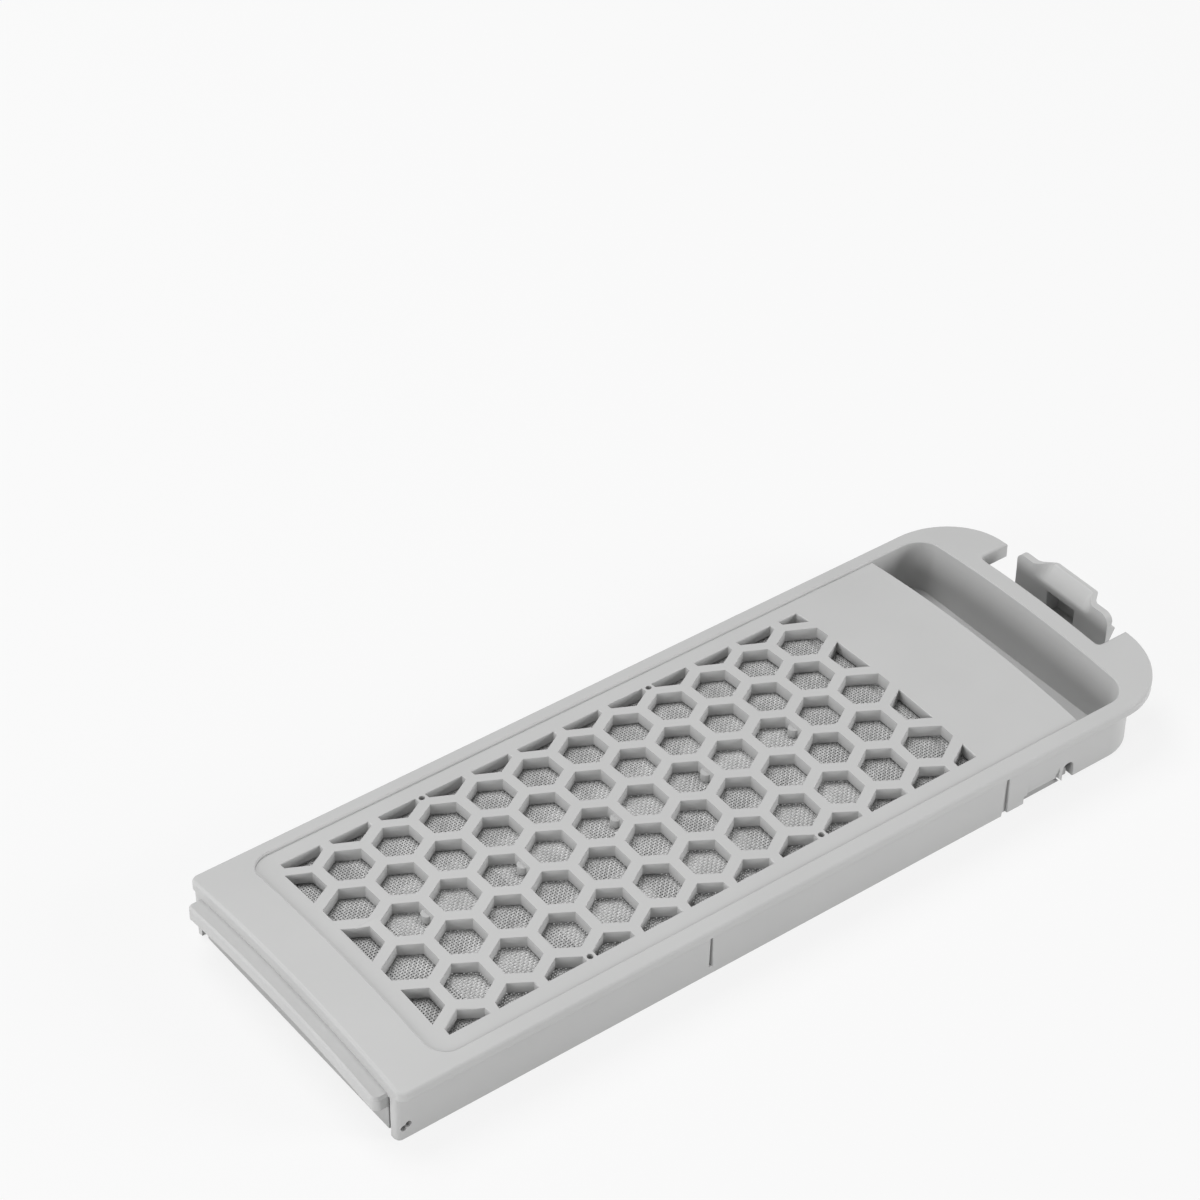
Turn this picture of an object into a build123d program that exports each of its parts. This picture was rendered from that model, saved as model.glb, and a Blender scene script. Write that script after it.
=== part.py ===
"""Washing machine lint filter box: front case with honeycomb grille, mesh screen, rear cover and latch."""
import math
import os

from build123d import *

# Honeycomb grille
PITCH = 9.6
CELL_RADIUS = 0.458 * PITCH
ROW_STEP = PITCH * math.sqrt(3) / 2
COLUMNS = 11
GRILLE_SIDE_MARGIN = 3.45
PIN_HOLE = 1.15
NUB_RADIUS = 1.0
NUB_HEIGHT = 1.5

# Top surface, a shallow cylinder lying along the box
TOP = 13.0
CROWN_RADIUS = 238.0
PANEL_RECESS = 0.5
PANEL_THICK = 2.4

# Frame plate with the two ears
FRAME_START = -83.4
FRAME_LENGTH = 166.4
FRAME_HALF_WIDTH = 30.4
FRAME_UNDERSIDE = 9.1
FRAME_CORNER = 1.6
FRAME_EDGE = 0.6
FRAME_FOOT = 0.35
EAR_RADIUS = 13.2
NOTCH_DEPTH = 6.7
NOTCH_HALF_WIDTH = 15.5
NOTCH_CORNER = 0.8
NOTCH_PAD_HALF_WIDTH = 11.2
NOTCH_PAD = 0.35
RIM_WIDTH = 3.0
RIM_INNER_EDGE = 0.2
PANEL_MARGIN = 9.2
PANEL_CORNER = 4.0
GRILLE_MARGIN = 3.4

# Body below the frame
WALL = 1.8
BODY_INSET = 1.2
BODY_CORNER = 8.8
CHEEK_CORNER = 1.0
END_STEP = 0.5

# Finger pocket
POCKET_LENGTH = 11.9
POCKET_END_WALL = 3.65
POCKET_CORNER = 4.3
POCKET_FLOOR = 1.6
POCKET_DRAFT = 1.5
POCKET_COLLAR = 3.0

# Hook lip
LIP_REACH = 2.7
LIP_DROP = 2.4
LIP_HEIGHT = 3.0
LIP_CORNER = 1.3
LIP_ROOT = 1.7
LIP_SIDE_GAP = 0.3
LIP_ROOT_INSET = 0.7
LIP_EDGE = 0.4

# Rear cover and its hinge
GAP = 0.3
COVER_BASE = 0.2
COVER_THICK = 1.6
COVER_RIB = 1.2
COVER_RIB_HEIGHT = 3.2
COVER_SIDE_GAP = 0.3
HINGE_SETBACK = 1.66
HINGE_HEIGHT = 2.63
PIN_RADIUS = 1.0
PIN_SEAT_DEPTH = 1.0
END_WALL_SIDE_GAP = 1.1
END_WALL_SETBACK = 0.4
END_WALL_GAP = 0.8
INLET_START_MARGIN = 25.4
INLET_END_MARGIN = 32.6
INLET_SIDE_MARGIN = 10.1
INLET_BAR = 3.0
INLET_BAYS = 4

# Marks on the side walls
KIDNEY_LOBE = 0.62
KIDNEY_REACH = 0.42
KIDNEY_RISE = 0.22
GROOVE_WIDTH = 0.5
GROOVE_DEPTH = 0.6
GROOVE_SETBACK = 61.7
GROOVE_LOW = 1.6
SLIT_SETBACK = 4.5
SLIT_TOP_WIDTH = 0.4
SLIT_FOOT_WIDTH = 1.2
SLIT_DEPTH = 0.5
SLIT_HIGH = 8.3
FINGER_SETBACK = 11.4
FINGER_LENGTH = 8.7
FINGER_HEIGHT = 1.6
FINGER_SLANT = 0.7
TAB_INSET = 0.75
TAB_HEIGHT = 1.1
SCOOP_HEIGHT = 2.6
SCOOP_DEPTH = 0.5
ARCH_SETBACK = 1.4
ARCH_HALF_WIDTH = 1.25
ARCH_HIGH = 4.0
LUG_HALF_WIDTH = 0.6
LUG_REACH = 1.2

# Mesh screen
MESH_THICK = 0.4
MESH_MARGIN = 2.0

# Latch
LATCH_GAP = 5.75
LATCH_THICK = 1.3
LATCH_HALF_WIDTH = 11.8
LATCH_TOP = 13.3
LATCH_CORNER = 1.7
LATCH_FOOT = 2.6
THUMB_HALF_WIDTH = 4.7
THUMB_BLEND = 3.0
THUMB_STEPS = 4
THUMB_LOW = 10.5
THUMB_HIGH = 13.6
THUMB_REACH = 2.75
THUMB_THICK = 1.3
WINDOW_HALF_WIDTH = 3.4
WINDOW_LOW = 4.4
WINDOW_HIGH = 9.4
WINDOW_DEPTH = 3.0
WINDOW_WALL = 0.8
BARB_LOW = 7.0
BARB_HIGH = 10.6
BARB_REACH = 1.1
SHELF_LIP = 0.9

# Positions that follow from the sizes above
FRAME_END = FRAME_START + FRAME_LENGTH
BODY_END = FRAME_END - NOTCH_DEPTH
BODY_HALF_WIDTH = FRAME_HALF_WIDTH - BODY_INSET
CAVITY_HALF_WIDTH = BODY_HALF_WIDTH - WALL
POCKET_END = BODY_END - POCKET_END_WALL
PANEL_END = POCKET_END - POCKET_LENGTH
PANEL_START = FRAME_START + PANEL_MARGIN
PANEL_HALF_WIDTH = FRAME_HALF_WIDTH - RIM_WIDTH
CAVITY_END = PANEL_END - WALL
GRILLE_START = PANEL_START + GRILLE_MARGIN
GRILLE_HALF_WIDTH = PANEL_HALF_WIDTH - GRILLE_SIDE_MARGIN
ROWS = math.floor((GRILLE_HALF_WIDTH + 0.8 * CELL_RADIUS) / ROW_STEP)
GRILLE_END = GRILLE_START + (COLUMNS + 0.54) * PITCH
FIRST_COLUMN = GRILLE_START + 1.02 * PITCH
AXIS_HEIGHT = TOP - CROWN_RADIUS
PANEL_TOP_RADIUS = CROWN_RADIUS - PANEL_RECESS
UNDERSIDE_RADIUS = PANEL_TOP_RADIUS - PANEL_THICK
LIP_TOP_RADIUS = CROWN_RADIUS - LIP_DROP
LIP_LOW_RADIUS = LIP_TOP_RADIUS - LIP_HEIGHT
LIP_HALF_WIDTH = CAVITY_HALF_WIDTH - LIP_SIDE_GAP
HINGE_X = FRAME_START + HINGE_SETBACK
COVER_HALF_WIDTH = CAVITY_HALF_WIDTH - COVER_SIDE_GAP
COVER_END = CAVITY_END - GAP
COVER_TOP = COVER_BASE + COVER_THICK
END_WALL_HALF_WIDTH = CAVITY_HALF_WIDTH - END_WALL_SIDE_GAP
INLET_START = FRAME_START + INLET_START_MARGIN
INLET_LENGTH = COVER_END - INLET_END_MARGIN - INLET_START
INLET_HALF_WIDTH = COVER_HALF_WIDTH - INLET_SIDE_MARGIN
FINGER_START = CAVITY_END - FINGER_SETBACK
FINGER_END = FINGER_START + FINGER_LENGTH
ARCH_AT = CAVITY_END - ARCH_SETBACK
SLIT_AT = FINGER_START - SLIT_SETBACK
GROOVE_AT = FRAME_START + GROOVE_SETBACK
LATCH_FACE = BODY_END + LATCH_GAP
LATCH_AXIS = LATCH_FACE + LATCH_THICK / 2


def block(x0, x1, y0, y1, z0, z1):
    """Return a box between two corners."""
    size = Box(x1 - x0, y1 - y0, z1 - z0)
    return Pos((x0 + x1) / 2, (y0 + y1) / 2, (z0 + z1) / 2) * size


def strip(x0, x1, half_width, z0, z1):
    """Return a box that is centred across the width."""
    return block(x0, x1, -half_width, half_width, z0, z1)


def crown(radius):
    """Return a long cylinder on the axis of the crowned top surface."""
    return Pos(0, 0, AXIS_HEIGHT) * Rot(0, 90, 0) * Cylinder(radius, 4 * FRAME_LENGTH)


def across(radius, x, z, y0, y1):
    """Return a round bar that lies across the box."""
    return Pos(x, (y0 + y1) / 2, z) * Rot(90, 0, 0) * Cylinder(radius, y1 - y0)


def outline(x0, x1, half_width, start_corner, end_corner):
    """Return a rectangle with its own corner radius at each end."""
    face = Pos((x0 + x1) / 2, 0) * Rectangle(x1 - x0, 2 * half_width)
    if end_corner:
        face = fillet(face.vertices().group_by(Axis.X)[-1], end_corner)
    if start_corner:
        face = fillet(face.vertices().group_by(Axis.X)[0], start_corner)
    return face


def prism(face, z0, z1):
    """Return a flat outline drawn up between two heights."""
    return extrude(Pos(0, 0, z0) * face, z1 - z0, dir=(0, 0, 1))


def profile(points, y0, y1):
    """Return a side profile, given as x and z pairs, drawn across the box."""
    face = Plane.XZ * Polygon(*points, align=None)
    return Pos(0, y0, 0) * extrude(face, y1 - y0, dir=(0, 1, 0))


def section(face, x0, x1):
    """Return a cross-section, drawn in y and z, carried along the box."""
    return Pos(x0, 0, 0) * extrude(Plane.YZ * face, x1 - x0, dir=(1, 0, 0))


def both_sides(shape):
    """Return a shape together with its mirror image across the middle plane."""
    return [shape, mirror(shape, Plane.XZ)]


def cell(x, y, left, right):
    """Return one grille opening with its reach to either side."""
    slope = math.tan(math.radians(30))
    high = [(-left, CELL_RADIUS - left * slope), (0, CELL_RADIUS), (right, CELL_RADIUS - right * slope)]
    if left < 0.05 * PITCH:
        high = [(-left, CELL_RADIUS), (right, CELL_RADIUS - right * slope)]
    if right < 0.05 * PITCH:
        high = [(-left, CELL_RADIUS - left * slope), (right, CELL_RADIUS)]
    ring = high + [(u, -v) for u, v in reversed(high)]
    return [(x + u, y + v) for u, v in ring]


def clip_width(points, limit):
    """Return the points of a polygon kept within a half width."""
    kept = points
    for sign in (1, -1):
        ring = []
        for a, b in zip(kept, kept[1:] + kept[:1]):
            inside_a = sign * a[1] <= limit
            inside_b = sign * b[1] <= limit
            if inside_a:
                ring.append(a)
            if inside_a != inside_b:
                t = (sign * limit - a[1]) / (b[1] - a[1])
                ring.append((a[0] + t * (b[0] - a[0]), sign * limit))
        kept = ring
    return kept


def grille_cells():
    """Return every opening of the honeycomb, cut and stretched at the edges."""
    flat = CELL_RADIUS * math.cos(math.radians(30))
    cells = []
    for row in range(-ROWS, ROWS + 1):
        shifted = row % 2
        first = -1 + 0.5 * shifted
        count = COLUMNS + 1
        for step in range(count):
            x = FIRST_COLUMN + (first + step) * PITCH
            left = flat
            right = flat
            if step == 0 and abs(row) < ROWS:
                left = x - GRILLE_START
            if step == count - 1:
                right = GRILLE_END - x
            ring = clip_width(cell(x, row * ROW_STEP, left, right), GRILLE_HALF_WIDTH)
            cells.append(ring)
    return cells


def grille_cutter():
    """Return the solid that opens the honeycomb through the panel."""
    faces = [Polygon(*ring, align=None) for ring in grille_cells()]
    cutter = prism(Sketch(faces), FRAME_UNDERSIDE / 2, TOP + 1)
    pins = []
    for column in (2, 7):
        for side in (-1, 1):
            spot = Pos(FIRST_COLUMN + column * PITCH, side * (GRILLE_HALF_WIDTH - 0.058 * PITCH), TOP - 2)
            pins.append(spot * Cylinder(PIN_HOLE / 2, 10))
    return cutter, pins


def grille_nubs():
    """Return the small half-round nubs on the middle row of openings."""
    flat = CELL_RADIUS * math.cos(math.radians(30))
    nubs = []
    low = TOP - PANEL_RECESS - PANEL_THICK
    for column in range(0, COLUMNS - 1, 2):
        x = FIRST_COLUMN + column * PITCH + flat
        nub = Pos(x, 0, low + NUB_HEIGHT / 2) * Cylinder(NUB_RADIUS, NUB_HEIGHT)
        nubs.append(nub & block(x - 2, x + 0.4, -2, 2, low, low + NUB_HEIGHT))
    return nubs


def frame_plate():
    """Return the crowned plate with the ears and the notch between them."""
    face = outline(FRAME_START, FRAME_END, FRAME_HALF_WIDTH, FRAME_CORNER, EAR_RADIUS)
    plate = prism(face, FRAME_UNDERSIDE, TOP + 1) & crown(CROWN_RADIUS)
    slot = outline(BODY_END, FRAME_END + 9, NOTCH_HALF_WIDTH, NOTCH_CORNER, 0)
    plate -= prism(slot, 0, TOP + 2)
    rim = plate.faces().sort_by(Axis.Z)[-1].outer_wire().edges()
    plate = fillet(rim, FRAME_EDGE)
    foot = plate.faces().sort_by(Axis.Z)[0].outer_wire().edges()
    return chamfer(foot, FRAME_FOOT)


def hook_lip():
    """Return the bar at the hinge end that hooks behind a ledge."""
    face = outline(FRAME_START - LIP_REACH, FRAME_START, LIP_HALF_WIDTH, LIP_CORNER, 0)
    bar = (prism(face, 1, TOP) & crown(LIP_TOP_RADIUS)) - crown(LIP_LOW_RADIUS)
    front = bar.edges().filter_by(lambda e: e.center().X < FRAME_START - LIP_REACH / 3)
    front = front.filter_by(Axis.Z, reverse=True)
    bar = chamfer(front, LIP_EDGE)
    half_width = LIP_HALF_WIDTH - LIP_ROOT_INSET
    root = strip(FRAME_START - 0.2, FRAME_START + LIP_ROOT, half_width, 1, TOP)
    root = (root & crown(UNDERSIDE_RADIUS + 0.3)) - crown(LIP_LOW_RADIUS)
    return bar + root


def side_marks():
    """Return the cutters for the wall at the far side of the box."""
    outer = BODY_HALF_WIDTH
    inner = CAVITY_HALF_WIDTH
    high = FRAME_UNDERSIDE - 0.7
    groove = block(GROOVE_AT, GROOVE_AT + GROOVE_WIDTH, outer - GROOVE_DEPTH, outer + 1, GROOVE_LOW, high)
    slit = profile(
        [
            (SLIT_AT + SLIT_TOP_WIDTH, SLIT_HIGH),
            (SLIT_AT, SLIT_HIGH),
            (SLIT_AT - SLIT_FOOT_WIDTH / 2, -1),
            (SLIT_AT + SLIT_FOOT_WIDTH / 2, -1),
        ],
        outer - SLIT_DEPTH,
        outer + 1,
    )
    finger = profile(
        [
            (FINGER_START, -1),
            (FINGER_END + FINGER_SLANT, -1),
            (FINGER_END + FINGER_SLANT, 0),
            (FINGER_END - FINGER_SLANT, FINGER_HEIGHT),
            (FINGER_START, FINGER_HEIGHT),
        ],
        inner - 1,
        outer + 1,
    )
    scoop = section(
        Polygon(
            (outer + 0.5, FINGER_HEIGHT - 0.1),
            (outer + 0.5, FINGER_HEIGHT + SCOOP_HEIGHT),
            (outer, FINGER_HEIGHT + SCOOP_HEIGHT),
            (outer - SCOOP_DEPTH, FINGER_HEIGHT - 0.1),
            align=None,
        ),
        FINGER_START + 0.6,
        FINGER_END - FINGER_SLANT,
    )
    arch = block(ARCH_AT - ARCH_HALF_WIDTH, ARCH_AT + ARCH_HALF_WIDTH, inner - 1, outer + 1, -1, ARCH_HIGH - 1)
    arch_top = across(ARCH_HALF_WIDTH, ARCH_AT, ARCH_HIGH - 1, inner - 1, outer + 1)
    seat = across(PIN_RADIUS + GAP, HINGE_X, HINGE_HEIGHT, inner - 1, inner + PIN_SEAT_DEPTH)
    lobe_a = across(KIDNEY_LOBE, HINGE_X + KIDNEY_REACH, HINGE_HEIGHT + KIDNEY_RISE, inner, outer + 1)
    lobe_b = across(KIDNEY_LOBE, HINGE_X - KIDNEY_REACH, HINGE_HEIGHT - KIDNEY_RISE, inner, outer + 1)
    return [groove, slit, finger, scoop, arch, arch_top, seat, lobe_a, lobe_b]


def latch_shelf():
    """Return the shelf with the round seat in which the latch foot turns."""
    end = LATCH_FACE + LATCH_THICK + SHELF_LIP
    shelf = strip(BODY_END - 0.5, end, LATCH_HALF_WIDTH, END_STEP, LATCH_FOOT)
    seat = across(LATCH_THICK / 2 + GAP, LATCH_AXIS, LATCH_FOOT, -LATCH_HALF_WIDTH - 1, LATCH_HALF_WIDTH + 1)
    return shelf - seat


def finger_pocket():
    """Return the hollow for a fingertip, whose end wall leans in towards the floor."""
    floor_face = outline(PANEL_END, POCKET_END - POCKET_DRAFT, PANEL_HALF_WIDTH, 0, POCKET_CORNER)
    top_face = outline(PANEL_END, POCKET_END, PANEL_HALF_WIDTH, 0, POCKET_CORNER)
    bend = TOP - POCKET_COLLAR
    hollow = loft([Pos(0, 0, POCKET_FLOOR) * floor_face, Pos(0, 0, bend) * top_face], ruled=True)
    return hollow + prism(top_face, bend, TOP + 2)


def front_case():
    """Return the front moulding: frame, grille panel, walls, pocket, lip and latch shelf."""
    body_face = outline(FRAME_START, BODY_END, BODY_HALF_WIDTH, CHEEK_CORNER, BODY_CORNER)
    body = prism(body_face, 0, FRAME_UNDERSIDE + 0.5)
    cavity = strip(FRAME_START - 9, CAVITY_END, CAVITY_HALF_WIDTH, -1, TOP)
    case = body + frame_plate()
    case -= cavity & crown(UNDERSIDE_RADIUS)
    case -= strip(FINGER_START, BODY_END + 1, FRAME_HALF_WIDTH, -1, END_STEP)
    recess = outline(PANEL_START, PANEL_END + 1, PANEL_HALF_WIDTH, PANEL_CORNER, 0)
    case -= prism(recess, FRAME_UNDERSIDE / 2, TOP + 1) - crown(PANEL_TOP_RADIUS)
    case -= finger_pocket()
    rim = max((f for f in case.faces() if f.inner_wires()), key=lambda f: f.center().Z)
    case = chamfer(rim.inner_wires()[0].edges(), RIM_INNER_EDGE)
    cutter, pins = grille_cutter()
    case -= cutter
    case -= pins
    for mark in side_marks():
        case -= both_sides(mark)
    case += grille_nubs()
    case += hook_lip()
    case += latch_shelf()
    pad = strip(BODY_END - 0.5, BODY_END + NOTCH_PAD, NOTCH_PAD_HALF_WIDTH, FRAME_UNDERSIDE - 2, TOP - 1.2)
    case += pad
    return case


def finger_tab():
    """Return the tab of the cover that fills the finger notch in the side wall."""
    top = COVER_BASE + TAB_HEIGHT
    points = [
        (FINGER_START + GAP, COVER_BASE),
        (FINGER_END + FINGER_SLANT - 0.5, COVER_BASE),
        (FINGER_END - FINGER_SLANT - GAP, top),
        (FINGER_START + GAP, top),
    ]
    return profile(points, COVER_HALF_WIDTH - 1, BODY_HALF_WIDTH - TAB_INSET)


def rear_cover():
    """Return the hinged back with its inlet bays, end wall, pins and snap lugs."""
    start = FRAME_START + END_WALL_SETBACK
    hinge_clear = HINGE_X + PIN_RADIUS + 2.0
    plate = strip(hinge_clear, COVER_END, COVER_HALF_WIDTH, COVER_BASE, COVER_TOP)
    cover = plate + strip(start, hinge_clear + 1, END_WALL_HALF_WIDTH, COVER_BASE, COVER_TOP)
    rib_outer = COVER_HALF_WIDTH - 1.0
    rib_start = hinge_clear + 4.0
    rib_end = COVER_END - 1.0
    rib = strip(rib_start, rib_end, rib_outer, COVER_BASE, COVER_TOP + COVER_RIB_HEIGHT)
    rib -= strip(rib_start + COVER_RIB, rib_end - COVER_RIB, rib_outer - COVER_RIB, -1, TOP)
    cover += rib
    wall = strip(start, start + COVER_THICK, END_WALL_HALF_WIDTH, COVER_BASE, TOP)
    cover += wall & crown(LIP_LOW_RADIUS - END_WALL_GAP)
    bay = (INLET_LENGTH - (INLET_BAYS - 1) * INLET_BAR) / INLET_BAYS
    for index in range(INLET_BAYS):
        x = INLET_START + index * (bay + INLET_BAR)
        for side in (-1, 1):
            y0 = side * INLET_BAR / 2
            y1 = side * INLET_HALF_WIDTH
            cover -= block(x, x + bay, min(y0, y1), max(y0, y1), -1, COVER_TOP + 0.5)
    lug_x0 = ARCH_AT - LUG_HALF_WIDTH
    lug_x1 = ARCH_AT + LUG_HALF_WIDTH
    lug = block(lug_x0, lug_x1, COVER_HALF_WIDTH - 1, COVER_HALF_WIDTH + LUG_REACH, COVER_BASE + 0.5, COVER_TOP + 0.6)
    cover += both_sides(lug)
    cover += both_sides(finger_tab())
    pin_end = CAVITY_HALF_WIDTH + PIN_SEAT_DEPTH - GAP
    pin = across(PIN_RADIUS, HINGE_X, HINGE_HEIGHT, END_WALL_HALF_WIDTH - 3, pin_end)
    root = block(start, HINGE_X, END_WALL_HALF_WIDTH - 3, END_WALL_HALF_WIDTH, COVER_BASE, HINGE_HEIGHT + PIN_RADIUS)
    cover += both_sides(pin)
    cover += both_sides(root)
    return cover


def filter_mesh():
    """Return the screen that follows the underside of the grille."""
    half_width = GRILLE_HALF_WIDTH + MESH_MARGIN
    sheet = strip(GRILLE_START - MESH_MARGIN, GRILLE_END + MESH_MARGIN, half_width, 0, TOP)
    sheet &= crown(UNDERSIDE_RADIUS - GAP)
    return sheet - crown(UNDERSIDE_RADIUS - GAP - MESH_THICK)


def latch_side(flare):
    """Return the side profile of the catch, with its top flared outwards by a share of the full reach."""
    back = LATCH_FACE + LATCH_THICK
    upright = [
        (LATCH_FACE, THUMB_LOW + 0.6),
        (LATCH_FACE, LATCH_TOP),
        (back, LATCH_TOP),
        (back, THUMB_LOW - 0.6),
    ]
    flared = [
        (LATCH_FACE + 0.3, THUMB_LOW + 0.6),
        (LATCH_FACE + THUMB_REACH, THUMB_HIGH),
        (LATCH_FACE + THUMB_REACH + THUMB_THICK, THUMB_HIGH - 0.5),
        (back + 0.4, THUMB_LOW - 0.6),
    ]
    top = [(x + flare * (u - x), z + flare * (v - z)) for (x, z), (u, v) in zip(upright, flared)]
    return [(LATCH_FACE, LATCH_FOOT), (LATCH_FACE, THUMB_LOW), *top, (back, THUMB_LOW - 1.4), (back, LATCH_FOOT)]


def thumb_blend():
    """Return the pieces through which the thumb pad flows into one shoulder of the catch."""
    sections = []
    for step in range(THUMB_STEPS + 1):
        share = step / THUMB_STEPS
        flare = 1 - share * share * (3 - 2 * share)
        face = Plane.XZ * Polygon(*latch_side(flare), align=None)
        sections.append(Pos(0, THUMB_HALF_WIDTH + share * THUMB_BLEND, 0) * face)
    return [loft([a, b], ruled=True) for a, b in zip(sections, sections[1:])]


def latch():
    """Return the upright catch with its flared thumb pad, window and barbs."""
    back = LATCH_FACE + LATCH_THICK
    blend = THUMB_HALF_WIDTH + THUMB_BLEND
    plate = profile(latch_side(1), -THUMB_HALF_WIDTH, THUMB_HALF_WIDTH)
    middle = (LATCH_FOOT + LATCH_TOP) / 2
    span = LATCH_HALF_WIDTH - blend
    face = Pos(blend + span / 2, middle) * Rectangle(span, LATCH_TOP - LATCH_FOOT)
    corner = face.vertices().sort_by(lambda v: v.X + v.Y)[-1]
    shoulder = section(fillet(corner, LATCH_CORNER), LATCH_FACE, back)
    barb = profile(
        [(back - 0.3, BARB_HIGH), (back, BARB_HIGH), (back + BARB_REACH, BARB_HIGH - 0.7), (back - 0.3, BARB_LOW)],
        blend,
        LATCH_HALF_WIDTH,
    )
    for half in (*thumb_blend(), shoulder, barb):
        plate += both_sides(half)
    plate += across(LATCH_THICK / 2, LATCH_AXIS, LATCH_FOOT, -LATCH_HALF_WIDTH, LATCH_HALF_WIDTH)
    depth = LATCH_FACE + WINDOW_DEPTH
    wall = WINDOW_WALL
    plate += strip(back - 0.2, depth + wall, WINDOW_HALF_WIDTH + wall, WINDOW_LOW - wall, WINDOW_HIGH + wall)
    return plate - strip(LATCH_FACE - 1, depth, WINDOW_HALF_WIDTH, WINDOW_LOW, WINDOW_HIGH)


def main():
    """Write one file for each piece."""
    os.makedirs("parts", exist_ok=True)
    pieces = {
        "front_case": front_case(),
        "rear_cover": rear_cover(),
        "filter_mesh": filter_mesh(),
        "latch": latch(),
    }
    for name, piece in pieces.items():
        solids = piece.solids()
        shape = solids[0] if len(solids) == 1 else Compound(solids)
        shape.label = name
        export_step(shape, f"parts/{name}.step")
        box = shape.bounding_box()
        print(name, len(solids), [round(v, 2) for v in (*box.min, *box.max)], round(shape.volume, 1))


if __name__ == "__main__":
    main()
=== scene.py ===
"""Lint filter box: satin grey mouldings round a woven screen, shown in a plain pale studio."""

import logging
import math
from dataclasses import dataclass
from enum import Enum

import bmesh
import bpy
import numpy as np
from mathutils import Euler, Matrix, Vector
from mathutils.geometry import intersect_point_line


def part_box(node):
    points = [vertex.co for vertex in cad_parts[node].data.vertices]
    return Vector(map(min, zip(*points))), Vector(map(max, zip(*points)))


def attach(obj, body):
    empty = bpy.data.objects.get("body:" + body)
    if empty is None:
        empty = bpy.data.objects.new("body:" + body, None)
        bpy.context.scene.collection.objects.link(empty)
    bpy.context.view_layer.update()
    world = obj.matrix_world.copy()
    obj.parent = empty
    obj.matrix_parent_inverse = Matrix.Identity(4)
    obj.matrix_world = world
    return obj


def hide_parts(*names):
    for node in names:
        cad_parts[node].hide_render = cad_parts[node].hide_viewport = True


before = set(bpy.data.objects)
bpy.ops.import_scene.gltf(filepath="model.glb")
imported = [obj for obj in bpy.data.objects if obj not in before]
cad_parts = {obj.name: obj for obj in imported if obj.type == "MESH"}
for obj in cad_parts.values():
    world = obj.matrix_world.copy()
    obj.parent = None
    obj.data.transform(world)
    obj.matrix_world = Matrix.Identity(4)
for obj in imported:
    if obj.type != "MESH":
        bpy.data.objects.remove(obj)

LOG = logging.getLogger("lint_filter_box")
MM = 0.001

Colour = tuple[float, float, float, float]
Point = tuple[float, float, float]

WHITE: Colour = (1.0, 1.0, 1.0, 1.0)
CASE_GREY: Colour = (0.48, 0.481, 0.479, 1.0)
CASE_SHADE: Colour = (0.46, 0.461, 0.459, 1.0)
# The rear cover is coloured darker than the case as painted shade: its visible faces, under the lip
# and in the finger notches, lie in shadow.
COVER_GREY_PAINTED_SHADE: Colour = (0.34, 0.341, 0.339, 1.0)
COVER_MOTTLE_PAINTED_SHADE: Colour = (0.32, 0.321, 0.319, 1.0)
THREAD_GREY: Colour = (0.60, 0.60, 0.598, 1.0)
THREAD_SHADE: Colour = (0.46, 0.46, 0.458, 1.0)


class ThreadRun(Enum):
    """Direction in which the threads of one layer of the screen run."""

    ALONG = "along"
    ACROSS = "across"


class NodeSheet:
    """Small helper that adds and joins the nodes of one material or world."""

    def __init__(self, tree: bpy.types.NodeTree, output: str) -> None:
        """Empty a node tree and give it an output.

        Args:
            tree: The node tree of a material or world.
            output: The type of the output node.
        """
        self.tree = tree
        self.tree.nodes.clear()
        self.output = self.add(output)

    @classmethod
    def of_material(cls, material: bpy.types.Material) -> "NodeSheet":
        """Start the nodes of a material.

        Args:
            material: The material.

        Returns:
            The empty sheet.
        """
        material.use_nodes = True
        return cls(material.node_tree, "ShaderNodeOutputMaterial")

    @classmethod
    def of_world(cls, world: bpy.types.World) -> "NodeSheet":
        """Start the nodes of a world.

        Args:
            world: The world.

        Returns:
            The empty sheet.
        """
        world.use_nodes = True
        return cls(world.node_tree, "ShaderNodeOutputWorld")

    def add(self, kind: str, **values: object) -> bpy.types.Node:
        """Add a node and set its sockets or its own settings.

        Args:
            kind: The node type.
            values: Socket names, with spaces written as underscores, or settings of the node.

        Returns:
            The new node.
        """
        node = self.tree.nodes.new(kind)
        for key, value in values.items():
            socket = node.inputs.get(key.replace("_", " "))
            if socket is not None:
                socket.default_value = value
            else:
                setattr(node, key, value)
        return node

    def ramp(self, low: tuple[float, Colour], high: tuple[float, Colour]) -> bpy.types.Node:
        """Add a colour ramp with two stops.

        Args:
            low: The place and the colour of the first stop.
            high: The place and the colour of the second stop.

        Returns:
            The new node.
        """
        node = self.add("ShaderNodeValToRGB")
        for stop, (place, colour) in zip(node.color_ramp.elements, (low, high)):
            stop.position = place
            stop.color = colour
        return node

    def join(self, start: bpy.types.NodeSocket, end: bpy.types.NodeSocket) -> None:
        """Link two sockets.

        Args:
            start: The socket that gives the value.
            end: The socket that takes it.
        """
        self.tree.links.new(start, end)

    def show(self, shader: bpy.types.NodeSocket) -> None:
        """Lead a shader to the output.

        Args:
            shader: The socket that gives the shader.
        """
        self.join(shader, self.output.inputs["Surface"])

    def seen_rays(self) -> bpy.types.NodeSocket:
        """Tell the rays that show a background from those that only carry light.

        Returns:
            A value of 1 for camera, glossy and transmission rays, and of 0 for the others.
        """
        paths = self.add("ShaderNodeLightPath")
        seen = paths.outputs["Is Camera Ray"]
        for ray in ("Is Glossy Ray", "Is Transmission Ray"):
            either = self.add("ShaderNodeMath", operation="MAXIMUM")
            self.join(seen, either.inputs[0])
            self.join(paths.outputs[ray], either.inputs[1])
            seen = either.outputs[0]
        return seen


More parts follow.
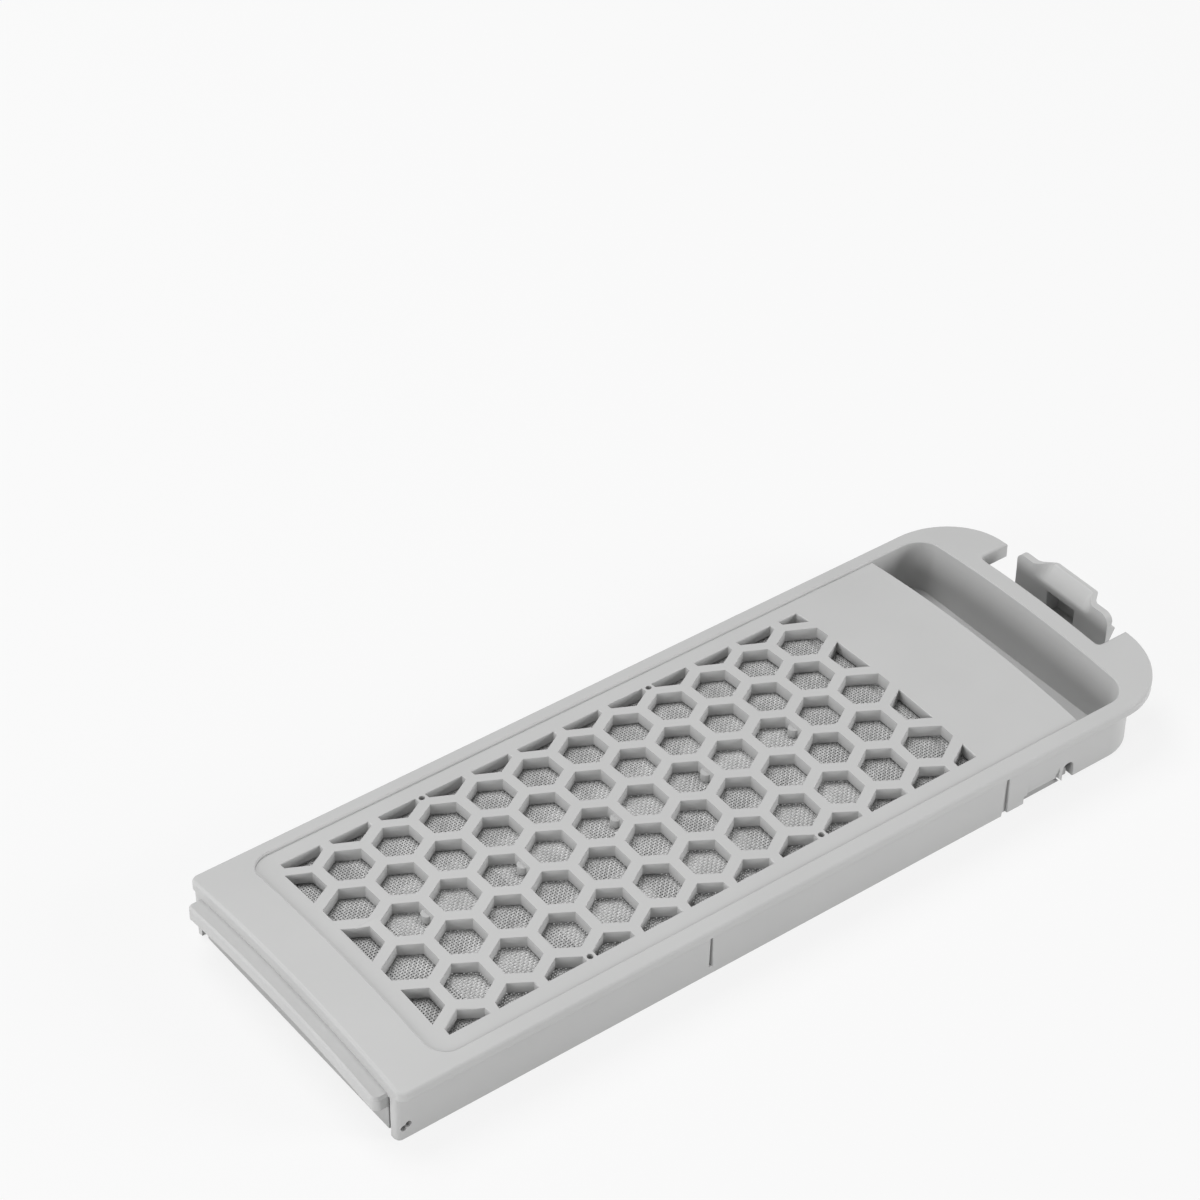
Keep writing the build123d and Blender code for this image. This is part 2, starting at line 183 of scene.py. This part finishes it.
@dataclass(frozen=True)
class PlasticFinish:
    """Satin moulded plastic with a faint mottle and a fine spark-eroded grain."""

    name: str
    colour: Colour
    shade: Colour
    shade_at: float = 0.3
    colour_at: float = 0.7
    roughness_low: float = 0.40
    roughness_high: float = 0.50
    refraction: float = 1.47
    mottle_scale: float = 55.0
    mottle_detail: float = 4.0
    mottle_decay: float = 0.55
    grain_scale: float = 2600.0
    grain_detail: float = 2.0
    grain_decay: float = 0.6
    grain_strength: float = 0.06
    grain_height: float = 0.1 * MM

    def build(self) -> bpy.types.Material:
        """Make the node material.

        Returns:
            The finished material.
        """
        material = bpy.data.materials.new(self.name)
        sheet = NodeSheet.of_material(material)
        coords = sheet.add("ShaderNodeTexCoord")
        mottle = sheet.add(
            "ShaderNodeTexNoise",
            Scale=self.mottle_scale,
            Detail=self.mottle_detail,
            Roughness=self.mottle_decay,
        )
        grain = sheet.add(
            "ShaderNodeTexNoise",
            Scale=self.grain_scale,
            Detail=self.grain_detail,
            Roughness=self.grain_decay,
        )
        tint = sheet.ramp((self.shade_at, self.shade), (self.colour_at, self.colour))
        gloss = sheet.add("ShaderNodeMapRange", To_Min=self.roughness_low, To_Max=self.roughness_high)
        bump = sheet.add("ShaderNodeBump", Strength=self.grain_strength, Distance=self.grain_height)
        shader = sheet.add("ShaderNodeBsdfPrincipled", IOR=self.refraction)
        for texture in (mottle, grain):
            sheet.join(coords.outputs["Object"], texture.inputs["Vector"])
        sheet.join(mottle.outputs["Fac"], tint.inputs["Fac"])
        sheet.join(tint.outputs["Color"], shader.inputs["Base Color"])
        sheet.join(mottle.outputs["Fac"], gloss.inputs["Value"])
        sheet.join(gloss.outputs["Result"], shader.inputs["Roughness"])
        sheet.join(grain.outputs["Fac"], bump.inputs["Height"])
        sheet.join(bump.outputs["Normal"], shader.inputs["Normal"])
        sheet.show(shader.outputs["BSDF"])
        return material


@dataclass(frozen=True)
class ThreadFinish:
    """Semi-gloss nylon thread whose grey drifts a little from place to place."""

    name: str
    colour: Colour
    shade: Colour
    shade_at: float = 0.32
    colour_at: float = 0.68
    roughness: float = 0.38
    refraction: float = 1.52
    drift_scale: float = 240.0
    drift_detail: float = 3.0
    drift_decay: float = 0.6

    def build(self) -> bpy.types.Material:
        """Make the node material.

        Returns:
            The finished material.
        """
        material = bpy.data.materials.new(self.name)
        sheet = NodeSheet.of_material(material)
        coords = sheet.add("ShaderNodeTexCoord")
        drift = sheet.add(
            "ShaderNodeTexNoise",
            Scale=self.drift_scale,
            Detail=self.drift_detail,
            Roughness=self.drift_decay,
        )
        tint = sheet.ramp((self.shade_at, self.shade), (self.colour_at, self.colour))
        shader = sheet.add("ShaderNodeBsdfPrincipled", Roughness=self.roughness, IOR=self.refraction)
        sheet.join(coords.outputs["Object"], drift.inputs["Vector"])
        sheet.join(drift.outputs["Fac"], tint.inputs["Fac"])
        sheet.join(tint.outputs["Color"], shader.inputs["Base Color"])
        sheet.show(shader.outputs["BSDF"])
        return material


@dataclass
class Mouldings:
    """The rigid grey mouldings, drawn from the frame with their outer edges eased by the mould."""

    case_finish: PlasticFinish
    cover_finish: PlasticFinish
    latch_finish: PlasticFinish
    merge: float = 0.002 * MM
    flat_turn: float = math.radians(0.3)
    ease: float = 0.24 * MM
    ease_steps: int = 2
    sharp_turn: float = math.radians(40)
    least_edge: float = 0.35 * MM
    least_width: float = 0.45 * MM
    least_run: float = 6.0 * MM
    hole_room: float = 1.5 * MM
    least_corner: float = math.radians(55)

    def dress(self) -> list[bpy.types.Object]:
        """Draw each moulding with eased edges and give it its plastic.

        Returns:
            The dressed mouldings.
        """
        dressed = []
        plan = (
            ("front_case", "case", "case_plastic", self.case_finish),
            ("rear_cover", "cover", "cover_plastic", self.cover_finish),
            ("latch", "catch", "latch_plastic", self.latch_finish),
        )
        for node, body, slot, finish in plan:
            moulding = self._eased(node)
            moulding.data.materials.append(finish.build())
            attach(moulding, body)
            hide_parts(node)
            dressed.append(moulding)
        return dressed

    def _eased(self, node: str) -> bpy.types.Object:
        """Copy a moulding of the frame, merge its facets and round its sharp outer edges.

        Args:
            node: The name of the moulding.

        Returns:
            The eased copy.
        """
        mesh = bmesh.new()
        mesh.from_mesh(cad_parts[node].data)
        bmesh.ops.remove_doubles(mesh, verts=mesh.verts, dist=self.merge)
        bmesh.ops.dissolve_limit(
            mesh, angle_limit=self.flat_turn, verts=mesh.verts, edges=mesh.edges
        )
        mesh.edges.index_update()
        bmesh.ops.bevel(
            mesh,
            geom=self._sharp_runs(mesh),
            offset=self.ease,
            offset_type="OFFSET",
            affect="EDGES",
            segments=self.ease_steps,
            profile=0.5,
            clamp_overlap=False,
            material=-1,
        )
        for face in mesh.faces:
            face.smooth = True
        for edge in mesh.edges:
            edge.smooth = not (edge.is_manifold and edge.calc_face_angle(0) > self.sharp_turn)
        data = bpy.data.meshes.new(f"{node}_eased")
        mesh.to_mesh(data)
        mesh.free()
        moulding = bpy.data.objects.new(f"{node}_eased", data)
        bpy.context.scene.collection.objects.link(moulding)
        shading = moulding.modifiers.new("even_shading", "WEIGHTED_NORMAL")
        shading.keep_sharp = True
        return moulding

    def _sharp_runs(self, mesh: bmesh.types.BMesh) -> list[bmesh.types.BMEdge]:
        """Find the outer corners that get rounded, leaving out the mouths of the smallest holes.

        Args:
            mesh: The merged mesh of a moulding.

        Returns:
            The edges of the long runs of sharp edges that keep clear of the smallest holes.
        """
        waiting = {edge for edge in mesh.edges if self._is_sharp(edge)}
        kept = []
        mouths = []
        while waiting:
            run = [min(waiting, key=lambda item: item.index)]
            waiting.discard(run[0])
            for edge in run:
                linked = {other for corner in edge.verts for other in corner.link_edges}
                near = linked & waiting
                waiting -= near
                run.extend(sorted(near, key=lambda item: item.index))
            if sum(edge.calc_length() for edge in run) > self.least_run:
                kept.extend(run)
            else:
                mouths.append(sum((edge.verts[0].co for edge in run), Vector()) / len(run))
        clear = [edge for edge in kept if not any(self._is_near(edge, mouth) for mouth in mouths)]
        return sorted(clear, key=lambda item: item.index)

    def _is_near(self, edge: bmesh.types.BMEdge, spot: Vector) -> bool:
        """Tell whether an edge passes close to a spot.

        Args:
            edge: The edge.
            spot: The spot, such as the middle of a small hole.

        Returns:
            True where the edge comes closer than the room that easing needs.
        """
        start, end = (corner.co for corner in edge.verts)
        share = max(0.0, min(1.0, intersect_point_line(spot, start, end)[1]))
        return (start.lerp(end, share) - spot).length < self.hole_room

    def _is_sharp(self, edge: bmesh.types.BMEdge) -> bool:
        """Tell whether an edge is an outer corner with room for easing on both of its faces.

        Args:
            edge: The edge to judge.

        Returns:
            True where the edge gets rounded.
        """
        if not edge.is_manifold or not edge.is_convex or edge.calc_length() < self.least_edge:
            return False
        if edge.calc_face_angle(0) < self.sharp_turn:
            return False
        for loop in edge.link_loops:
            for corner in (loop, loop.link_loop_next):
                if corner.is_convex and corner.calc_angle() < self.least_corner:
                    return False
        return all(self._width_beside(face, edge) > self.least_width for face in edge.link_faces)

    def _width_beside(self, face: bmesh.types.BMFace, edge: bmesh.types.BMEdge) -> float:
        """Measure how far a face reaches away from one of its edges.

        Args:
            face: The face.
            edge: The edge of the face to measure from.

        Returns:
            The furthest distance of the corners of the face from the line of the edge.
        """
        start = edge.verts[0].co
        run = (edge.verts[1].co - start).normalized()
        reach = 0.0
        for corner in face.verts:
            arm = corner.co - start
            reach = max(reach, (arm - run * arm.dot(run)).length)
        return reach


@dataclass
class WovenScreen:
    """Plain-woven screen, laid on the crown under the grille and domed a little in each opening."""

    finish: ThreadFinish
    thread_pitch: float = 0.52 * MM
    thread_width: float = 0.25 * MM
    thread_height: float = 0.17 * MM
    crimp: float = 0.085 * MM
    crown_radius: float = 234.8 * MM
    crown_axis: float = -225.0 * MM
    cell_pitch: float = 9.6 * MM
    cell_reach: float = 3.81 * MM
    cell_rows: int = 3
    cell_columns: tuple[int, int] = (-1, 10)
    first_column: float = -61.0 * MM
    grille_ends: tuple[float, float] = (-70.8 * MM, 39.98 * MM)
    grille_half_width: float = 23.95 * MM
    nub_columns: tuple[int, ...] = (0, 2, 4, 6, 8)
    nub_radius: float = 1.0 * MM
    dome: float = 0.45 * MM
    dome_run: float = 1.5 * MM

    def build(self) -> list[bpy.types.Object]:
        """Weave both layers of thread and put them in place of the plain sheet.

        Returns:
            The layer that runs along the box and the layer that runs across it.
        """
        low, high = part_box("filter_mesh")
        length = high.x - low.x
        width = high.y - low.y
        columns = int(length / self.thread_pitch) // 2 * 2
        rows = int(width / self.thread_pitch) // 2 * 2
        material = self.finish.build()
        layers = []
        for run in ThreadRun:
            layer = self._layer(run, columns, rows)
            self._lay_on_crown(layer.data)
            layer.data.materials.append(material)
            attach(layer, "case")
            layers.append(layer)
        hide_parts("filter_mesh")
        return layers

    def _thread(self, mesh: bmesh.types.BMesh, steps: int, side: float, lift: float) -> None:
        """Draw one crimped thread along X by extruding a four-sided ring over its crossings.

        Args:
            mesh: The mesh that takes the thread.
            steps: The number of crossings on the thread.
            side: The place of the thread across its layer.
            lift: The height of the thread at its first crossing.
        """
        start = -0.5 * (steps - 1) * self.thread_pitch
        unit_corner = math.sqrt(0.5)
        upright = Matrix.Rotation(math.radians(90), 4, "Y")
        squared = Matrix.Rotation(math.radians(45), 4, "Z")
        ring = bmesh.ops.create_circle(mesh, cap_ends=False, segments=4, radius=unit_corner)
        corners = ring["verts"]
        edges = [edge for edge in mesh.edges if all(corner in corners for corner in edge.verts)]
        bmesh.ops.transform(mesh, matrix=upright @ squared, verts=corners)
        bmesh.ops.scale(mesh, vec=(1, self.thread_width, self.thread_height), verts=corners)
        bmesh.ops.translate(mesh, vec=(start, side, lift), verts=corners)
        ends = list(edges)
        for step in range(1, steps):
            grown = bmesh.ops.extrude_edge_only(mesh, edges=edges)["geom"]
            corners = [item for item in grown if isinstance(item, bmesh.types.BMVert)]
            edges = [item for item in grown if isinstance(item, bmesh.types.BMEdge)]
            rise = -2 * lift if step % 2 else 2 * lift
            bmesh.ops.translate(mesh, vec=(self.thread_pitch, 0, rise), verts=corners)
        bmesh.ops.holes_fill(mesh, edges=ends + edges, sides=4)

    def _layer(self, run: ThreadRun, columns: int, rows: int) -> bpy.types.Object:
        """Weave one layer flat: a pair of opposite threads, repeated across the sheet.

        Args:
            run: The direction of the threads.
            columns: The number of threads that cross the box.
            rows: The number of threads that run along it.

        Returns:
            The flat layer, centred on the origin.
        """
        along = run is ThreadRun.ALONG
        steps, count = (columns, rows) if along else (rows, columns)
        lift = self.crimp if along else -self.crimp
        first = -0.5 * (count - 1) * self.thread_pitch
        pair = bmesh.new()
        self._thread(pair, steps, first, lift)
        self._thread(pair, steps, first + self.thread_pitch, -lift)
        bmesh.ops.recalc_face_normals(pair, faces=pair.faces)
        name = f"screen_threads_{run.value}"
        seed_mesh = bpy.data.meshes.new(f"{name}_pair")
        pair.to_mesh(seed_mesh)
        pair.free()
        seed = bpy.data.objects.new(f"{name}_pair", seed_mesh)
        bpy.context.scene.collection.objects.link(seed)
        repeat = seed.modifiers.new("repeat", "ARRAY")
        repeat.use_relative_offset = False
        repeat.use_constant_offset = True
        repeat.constant_offset_displace = (0, 2 * self.thread_pitch, 0)
        repeat.count = count // 2
        bpy.context.view_layer.update()
        depsgraph = bpy.context.evaluated_depsgraph_get()
        woven = bpy.data.meshes.new_from_object(seed.evaluated_get(depsgraph))
        bpy.data.objects.remove(seed)
        if not along:
            woven.transform(Matrix.Rotation(math.radians(90), 4, "Z"))
        woven.name = name
        layer = bpy.data.objects.new(name, woven)
        bpy.context.scene.collection.objects.link(layer)
        return layer

    def _lay_on_crown(self, mesh: bpy.types.Mesh) -> None:
        """Move a flat layer to its place and let it follow the crown and the openings.

        Args:
            mesh: The mesh of the layer.
        """
        low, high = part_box("filter_mesh")
        points = np.zeros(len(mesh.vertices) * 3)
        mesh.vertices.foreach_get("co", points)
        points = points.reshape(-1, 3)
        points[:, 0] += 0.5 * (low.x + high.x)
        points[:, 1] += 0.5 * (low.y + high.y)
        rise = np.sqrt(self.crown_radius**2 - points[:, 1] ** 2) + self.crown_axis
        points[:, 2] += rise + self._dome(points[:, 0], points[:, 1])
        mesh.vertices.foreach_set("co", points.ravel())
        mesh.update()

    def _dome(self, x: np.ndarray, y: np.ndarray) -> np.ndarray:
        """Work out how far the screen bulges into the openings, clear of their walls and nubs.

        Args:
            x: Places along the box.
            y: Places across the box.

        Returns:
            The height of the bulge at each place.
        """
        room = np.zeros(x.shape)
        half_root = math.sqrt(3) / 2
        for row in range(-self.cell_rows, self.cell_rows + 1):
            shift = 0.5 * (row % 2)
            column = (x - self.first_column) / self.cell_pitch - shift
            nearest = np.clip(np.round(column), *self.cell_columns)
            along = np.abs(column - nearest) * self.cell_pitch
            across = np.abs(y - row * half_root * self.cell_pitch)
            reach = np.maximum(along, 0.5 * along + half_root * across)
            room = np.maximum(room, self.cell_reach - reach)
        start, end = self.grille_ends
        room = np.minimum(room, np.minimum(x - start, end - x))
        room = np.minimum(room, self.grille_half_width - np.abs(y))
        for column in self.nub_columns:
            nub = self.first_column + column * self.cell_pitch + self.cell_reach
            room = np.minimum(room, np.hypot(x - nub, y) - self.nub_radius)
        share = np.clip(room / self.dome_run, 0, 1)
        return self.dome * share * (2 - share)


@dataclass(frozen=True)
class SoftLamp:
    """Square soft lamp that points at the box.

    The power is in watts. A low lamp is not mirrored, since it would dazzle in a flat view.
    """

    name: str
    place: Point
    size: float
    power: float
    mirrored: bool

    def hang(self) -> None:
        """Hang the lamp in the studio."""
        data = bpy.data.lights.new(self.name, "AREA")
        data.shape = "SQUARE"
        data.size = self.size
        data.energy = self.power
        lamp = bpy.data.objects.new(self.name, data)
        bpy.context.scene.collection.objects.link(lamp)
        lamp.visible_glossy = self.mirrored
        lamp.location = self.place
        lamp.rotation_euler = (-Vector(self.place)).to_track_quat("-Z", "Y").to_euler()


@dataclass
class Studio:
    """Pale floor, soft lamps and the camera."""

    floor_size: float = 6.0
    floor_colour: Colour = (0.66, 0.66, 0.66, 1.0)
    floor_glow: float = 0.82
    sky_light: float = 0.25
    white_level: float = 1.0
    lamps: tuple[SoftLamp, ...] = (
        SoftLamp("top_lamp", (-0.06, 0.5, 0.9), 0.6, 6.4, True),
        SoftLamp("key_lamp", (-1.0, -0.1, 0.3), 0.56, 7.4, False),
        SoftLamp("side_lamp", (0.7, -0.72, 0.33), 0.4, 7.0, False),
    )
    camera_place: Point = (-0.28388, -0.33931, 0.40579)
    camera_turn: Point = (0.866048, -0.009292, -0.647736)
    camera_clip: tuple[float, float] = (0.01, 50.0)
    sensor_width: float = 36.0
    lens: float = 105.12
    shift: tuple[float, float] = (0.0018, 0.0740)

    def build(self) -> None:
        """Set up the floor, the world, the lamps and the camera."""
        self._floor()
        self._world()
        for lamp in self.lamps:
            lamp.hang()
        self._camera()
        bpy.context.scene.view_settings.view_transform = "Standard"

    def _floor(self) -> None:
        """Lay the pale floor, which keeps the shadow of the box."""
        mesh = bmesh.new()
        bmesh.ops.create_grid(mesh, x_segments=2, y_segments=2, size=self.floor_size / 2)
        data = bpy.data.meshes.new("floor")
        mesh.to_mesh(data)
        mesh.free()
        floor = bpy.data.objects.new("floor", data)
        bpy.context.scene.collection.objects.link(floor)
        material = bpy.data.materials.new("pale_floor")
        sheet = NodeSheet.of_material(material)
        share = sheet.add("ShaderNodeMath", operation="MULTIPLY")
        share.inputs[1].default_value = self.floor_glow
        matt = sheet.add("ShaderNodeBsdfDiffuse", Color=self.floor_colour)
        glow = sheet.add("ShaderNodeEmission", Color=WHITE, Strength=self.white_level)
        mix = sheet.add("ShaderNodeMixShader")
        sheet.join(sheet.seen_rays(), share.inputs[0])
        sheet.join(share.outputs[0], mix.inputs[0])
        sheet.join(matt.outputs[0], mix.inputs[1])
        sheet.join(glow.outputs[0], mix.inputs[2])
        sheet.show(mix.outputs[0])
        data.materials.append(material)

    def _world(self) -> None:
        """Give a soft even sky that the camera sees as white."""
        world = bpy.data.worlds.new("studio")
        bpy.context.scene.world = world
        sheet = NodeSheet.of_world(world)
        soft = sheet.add("ShaderNodeBackground", Color=WHITE, Strength=self.sky_light)
        white = sheet.add("ShaderNodeBackground", Color=WHITE, Strength=self.white_level)
        mix = sheet.add("ShaderNodeMixShader")
        sheet.join(sheet.seen_rays(), mix.inputs[0])
        sheet.join(soft.outputs[0], mix.inputs[1])
        sheet.join(white.outputs[0], mix.inputs[2])
        sheet.show(mix.outputs[0])

    def _camera(self) -> None:
        """Set the camera at the angle of the picture."""
        data = bpy.data.cameras.new("camera")
        data.sensor_width = self.sensor_width
        data.lens = self.lens
        data.shift_x, data.shift_y = self.shift
        data.clip_start, data.clip_end = self.camera_clip
        camera = bpy.data.objects.new("camera", data)
        bpy.context.scene.collection.objects.link(camera)
        camera.location = self.camera_place
        camera.rotation_euler = Euler(self.camera_turn, "XYZ")
        bpy.context.scene.camera = camera


def main() -> None:
    """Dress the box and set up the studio."""
    logging.basicConfig(level=logging.INFO, format="%(name)s: %(message)s")
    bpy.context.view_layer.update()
    mouldings = Mouldings(
        PlasticFinish("case_plastic", CASE_GREY, CASE_SHADE),
        # The cover's darker grey is painted shade for the shadowed faces under the lip and in the
        # finger notches.
        PlasticFinish("cover_plastic", COVER_GREY_PAINTED_SHADE, COVER_MOTTLE_PAINTED_SHADE),
        PlasticFinish("latch_plastic", CASE_GREY, CASE_SHADE),
    )
    screen = WovenScreen(ThreadFinish("screen_nylon", THREAD_GREY, THREAD_SHADE))
    for piece in [*mouldings.dress(), *screen.build()]:
        LOG.info("%s: %d faces", piece.name, len(piece.data.polygons))
    Studio().build()


if __name__ == "__main__":
    main()
